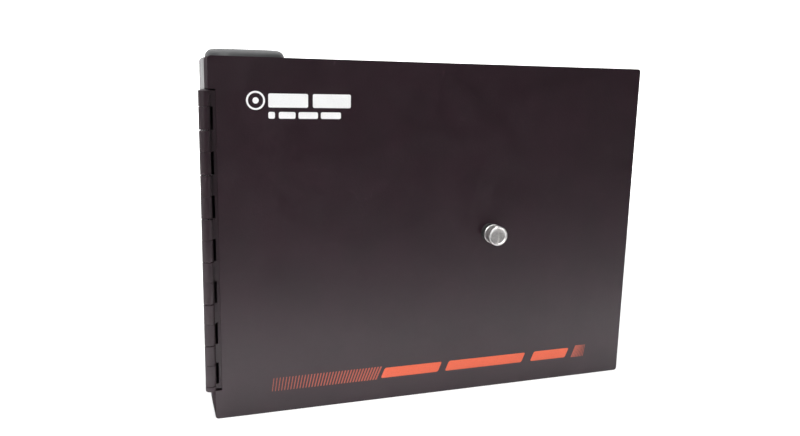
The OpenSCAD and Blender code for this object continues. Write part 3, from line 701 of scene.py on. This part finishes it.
def threaded(bm, origin, start, end, radius, axis="Y"):
    # rod with a helical ridge; the ridge fades at both ends
    turnsLong = (end - start) / (screw["pitch"] * mm)
    count = max(8, int(turnsLong * screw["perPitch"]))
    steps = screw["perTurn"]
    depth = screw["depth"] * mm
    rings = []
    for k in range(count + 1):
        along = start + (end - start) * k / count
        ring = []
        for i in range(steps):
            a = 2 * math.pi * i / steps
            phase = ((along - start) / (screw["pitch"] * mm) - i / steps) % 1
            cutIn = depth * (1 - abs(2 * phase - 1))
            fade = min(1, k / screw["fade"], (count - k) / screw["fade"])
            r = radius - cutIn * fade
            if k in (0, count):
                r = radius * 0.8
            ring.append(bm.verts.new(Vector((r * math.cos(a), along, r * math.sin(a))) + Vector(origin)))
        rings.append(ring)
    for one, two in zip(rings, rings[1:]):
        for i in range(steps):
            j = (i + 1) % steps
            bm.faces.new([one[i], one[j], two[j], two[i]])
    bm.faces.new(rings[0][::-1])
    bm.faces.new(rings[-1])


def makeScrew():
    low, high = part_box("captive_screw")
    middle = (low + high) / 2
    radius = (high.x - low.x) / 2
    ringLow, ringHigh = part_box("retaining_ring")
    bm = bmesh.new()
    neck, slim, soft = radius - screw["groove"] * mm, radius - 0.1 * mm, 0.05 * mm
    plainEnd = ringHigh.y + screw["plain"] * mm
    lathe(bm, [(0, low.y), (radius, low.y), (radius, ringLow.y - soft), (neck, ringLow.y),
               (neck, ringHigh.y), (slim, ringHigh.y + soft), (slim, plainEnd), (0, plainEnd)],
          screw["around"], (middle.x, 0, middle.z))
    threaded(bm, (middle.x, 0, middle.z), ringHigh.y + 0.3 * mm, high.y, radius)
    bmesh.ops.recalc_face_normals(bm, faces=bm.faces)
    obj = newObject("screw_shank", bm)
    shade(obj, 30)
    place(obj, brightNickel, "screw", "bright_nickel", "captive_screw")


def makeSpring():
    low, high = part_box("screw_spring")
    middle = (low + high) / 2
    wire = spring["wire"] * mm
    coil = (high.x - low.x) / 2 - wire
    turns, perTurn, sides, flat = spring["turns"], spring["perTurn"], spring["sides"], spring["flat"]
    reach = high.y - low.y - 2 * wire
    # the end turns lie flat, as on a ground compression spring
    path = []
    for k in range(turns * perTurn + 1):
        share = k / (turns * perTurn)
        rise = min(1, max(0, (share - flat) / (1 - 2 * flat)))
        height = wire * 2 * share * 0.9 + (reach - wire * 1.8) * rise
        path.append((2 * math.pi * k / perTurn, high.y - wire - height))
    bm = bmesh.new()
    rings = []
    for angle, y in path:
        out = Vector((math.cos(angle), 0, math.sin(angle)))
        centre = Vector((middle.x, y, middle.z)) + out * coil
        rings.append([bm.verts.new(centre + out * (wire * math.cos(2 * math.pi * j / sides)) +
                                   Vector((0, wire * math.sin(2 * math.pi * j / sides), 0)))
                      for j in range(sides)])
    for one, two in zip(rings, rings[1:]):
        for j in range(sides):
            n = (j + 1) % sides
            bm.faces.new([one[j], one[n], two[n], two[j]])
    bm.faces.new(rings[0])
    bm.faces.new(rings[-1][::-1])
    bmesh.ops.recalc_face_normals(bm, faces=bm.faces)
    obj = newObject("spring_coil", bm)
    shade(obj, 60)
    place(obj, springSteel, "door", "spring_steel", "screw_spring")
    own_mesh(obj)


makeKnob()
makeScrew()
makeSpring()
dress("screw_ferrule", darkFerruleMetal, 0.2, "ferrule")
dress("retaining_ring", springSteel, 0.12, "snap_ring")
print("captive screw made")


# ---- record card inside the door ----

card = {"lines": 11, "margin": 6.0, "ruled": 0.3, "header": 9.0, "gap": 6.0, "ink": 0.03}


def makeCard():
    dress("record_card", cardStock, 0.1, "card_sheet")
    low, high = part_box("record_card")
    margin, inkOut = card["margin"] * mm, high.y + card["ink"] * mm
    bm = bmesh.new()
    addBox(bm, (low.x + margin, high.y - near, high.z - margin - card["header"] * mm),
           (high.x - margin, inkOut, high.z - margin))
    place(newObject("card_header", bm), cardInk, "door", "card")
    bm = bmesh.new()
    addBox(bm, (low.x + margin, high.y - near, 0), (high.x - margin, inkOut, card["ruled"] * mm))
    lines = newObject("card_lines", bm)
    usable = high.z - low.z - 2 * margin - (card["header"] + card["gap"]) * mm
    row(lines, cardInk, card["lines"], (0, 0, usable / (card["lines"] - 1)))
    shift(lines, (0, 0, low.z + margin))
    place(lines, cardInk, "door", "card")


makeCard()


# ---- bulkhead, panels and adapters ----

dress("bulkhead", innerPaint, 0.15, "bulkhead_sheet")
dress("bulkhead_screws", zinc, 0.25, "bulkhead_screw_heads")
dress("latch_nut", zinc, 0.2, "press_nut")
for side in ("upper", "lower"):
    dress("adapter_panel_" + side, innerPaint, 0.2, "panel_" + side)
for number in range(1, 9):
    dress("adapter_%d" % number, adapterPlastic, 0.3, "duplex_adapter_%d" % number)
dress("splice_side_caps", capPlastic, 0.45, "caps_splice_side")
dress("patch_side_caps", capPlastic, 0.45, "caps_patch_side")
for number in range(1, 5):
    dress("latch_grommet_%d" % number, blackNylon, 0.25, "snap_socket_%d" % number)
    dress("latch_plunger_%d" % number, blackNylon, 0.5, "snap_plunger_%d" % number)
print("panels made")


# ---- splice bay ----

for side in ("upper", "lower"):
    dress("slack_spool_" + side, blackNylon, 0.35, "spool_" + side)
dress("tray_standoff", zinc, 0.3, "standoff")
dress("splice_tray", trayPlastic, 0.25, "tray")
dress("splice_holder", holderPlastic, 0.25, "sleeve_comb")
dress("tray_cover", clearCover, 0.2, "cover_sheet")
dress("wing_nut", zinc, 0.5, "wing_nut_cast")
dress("tray_stud", zinc, 0.3, "stud")
dress("clamp_base", innerPaint, 0.4, "clamp_block")
dress("clamp_saddle", zinc, 0.2, "clamp_strap")
dress("clamp_screws", zinc, 0.3, "clamp_screw_heads")
dress("ground_stud", brass, 0.3, "earth_stud")
dress("ground_washer", brass, 0.15, "earth_washer")
dress("ground_nut", brass, 0.3, "earth_nut")
for number in range(1, 4):
    dress("cord_ring_%d" % number, holderPlastic, 0.35, "ring_%d" % number)
print("interior made")


# ---- floor, light and camera ----

# far, greyFrom and whiteFrom set the floor's painted shade, grey far in front of the box
studio = {"floor": (0.93, 0.93, 0.93), "far": (0.12, 0.12, 0.12), "greyFrom": -0.38, "whiteFrom": -0.14,
          "roomLevel": 0.12, "wallLevel": 1.2, "seenLevel": 0.95,
          "sweepBack": 1.5, "sweepFront": 1.5, "wide": 3.0, "rise": 2.2, "curve": 0.5, "curveSteps": 12}
# each lamp: place, the point it aims at, size, power and spread in degrees
lamps = {"top": ((-0.1, 0.05, 0.9), (-0.1, -0.03, -0.1), (1.5, 1.0), 15, 180),
         "front strip": ((-0.03, -0.17, 0.42), (-0.03, -0.17, -0.1), (0.8, 0.12), 0.6, 30),
         "side fill": ((-0.75, -1.0, 0.75), (-0.02, -0.06, 0), (0.9, 0.9), 14, 180)}
camera = {"lens": 33.07, "sensor": 36, "turn": -19.28, "tilt": 10.68, "roll": 1.39,
          "spot": (-0.1773, -0.4914, 0.09735)}


def makeStage():
    floorZ = cadBox[0][2]
    bm = bmesh.new()
    outline = [(-studio["sweepFront"], floorZ), (studio["sweepBack"] - studio["curve"], floorZ)]
    for i in range(1, studio["curveSteps"] + 1):
        a = math.pi / 2 * i / studio["curveSteps"]
        outline.append((studio["sweepBack"] - studio["curve"] + studio["curve"] * math.sin(a),
                        floorZ + studio["curve"] * (1 - math.cos(a))))
    outline.append((studio["sweepBack"], floorZ + studio["rise"]))
    rows = [[bm.verts.new((x, y, z)) for y, z in outline] for x in (-studio["wide"], studio["wide"])]
    for i in range(len(outline) - 1):
        bm.faces.new([rows[0][i], rows[1][i], rows[1][i + 1], rows[0][i + 1]])
    stage = newObject("floor_sweep", bm)
    stage.data.shade_smooth()
    mat, tree, shader = newFinish("pale floor with painted shade in front", {"Roughness": 0.8, "Specular IOR Level": 0.2})
    # painted shade: the floor colour goes from white under and behind the box to grey far in front, standing
    # in for less light falling there
    spot = addNode(tree, "ShaderNodeTexCoord").outputs["Object"]
    parts = addNode(tree, "ShaderNodeSeparateXYZ", {"Vector": spot})
    share = remap(tree, parts.outputs["Y"], 0, 1, studio["greyFrom"], studio["whiteFrom"])
    tree.links.new(twoTone(tree, share, studio["far"], studio["floor"], 0, 1), shader.inputs["Base Color"])
    # the wall behind glows evenly
    glow = remap(tree, parts.outputs["Y"], 0, studio["wallLevel"], 0.3, 0.9)
    tree.links.new(glow, shader.inputs["Emission Strength"])
    shader.inputs["Emission Color"].default_value = (1, 1, 1, 1)
    stage.data.materials.append(mat)


def areaLight(name, spot, aim, size, power, spread):
    data = bpy.data.lights.new(name, "AREA")
    data.shape = "RECTANGLE"
    data.size, data.size_y = size
    data.energy = power
    data.spread = math.radians(spread)
    obj = bpy.data.objects.new(name, data)
    obj.location = spot
    obj.rotation_euler = (Vector(aim) - Vector(spot)).to_track_quat("-Z", "Y").to_euler()
    bpy.context.scene.collection.objects.link(obj)


def makeLight():
    world = bpy.data.worlds.new("studio")
    bpy.context.scene.world = world
    world.use_nodes = True
    tree = world.node_tree
    back = tree.nodes["Background"]
    view = addNode(tree, "ShaderNodeTexCoord").outputs["Generated"]
    parts = addNode(tree, "ShaderNodeSeparateXYZ", {"Vector": view})
    # a bright wall behind the box, a dim room to its sides and in front, and a pale ground to look at
    level = remap(tree, parts.outputs["Y"], studio["roomLevel"], studio["wallLevel"], 0.35, 0.85)
    seen = addNode(tree, "ShaderNodeLightPath").outputs["Is Camera Ray"]
    shown = addNode(tree, "ShaderNodeMix", {0: seen, 2: level, 3: studio["seenLevel"]}, data_type="FLOAT")
    tree.links.new(shown.outputs[0], back.inputs["Strength"])
    back.inputs["Color"].default_value = (1, 1, 1, 1)
    for name, values in lamps.items():
        areaLight(name, *values)
    bpy.context.scene.view_settings.view_transform = "Standard"


def makeCamera():
    data = bpy.data.cameras.new("camera")
    data.lens, data.sensor_width = camera["lens"], camera["sensor"]
    obj = bpy.data.objects.new("camera", data)
    bpy.context.scene.collection.objects.link(obj)
    turn, tilt, roll = (math.radians(camera[key]) for key in ("turn", "tilt", "roll"))
    ahead = -Vector((math.sin(turn) * math.cos(tilt), -math.cos(turn) * math.cos(tilt), math.sin(tilt)))
    level = ahead.cross(Vector((0, 0, 1))).normalized()
    down = ahead.cross(level)
    right = math.cos(roll) * level - math.sin(roll) * down
    up = -(math.cos(roll) * down + math.sin(roll) * level)
    axes = Matrix((right, up, -ahead)).transposed().to_4x4()
    obj.matrix_world = Matrix.Translation(camera["spot"]) @ axes
    bpy.context.scene.camera = obj


makeStage()
makeLight()
makeCamera()
print("stage made")
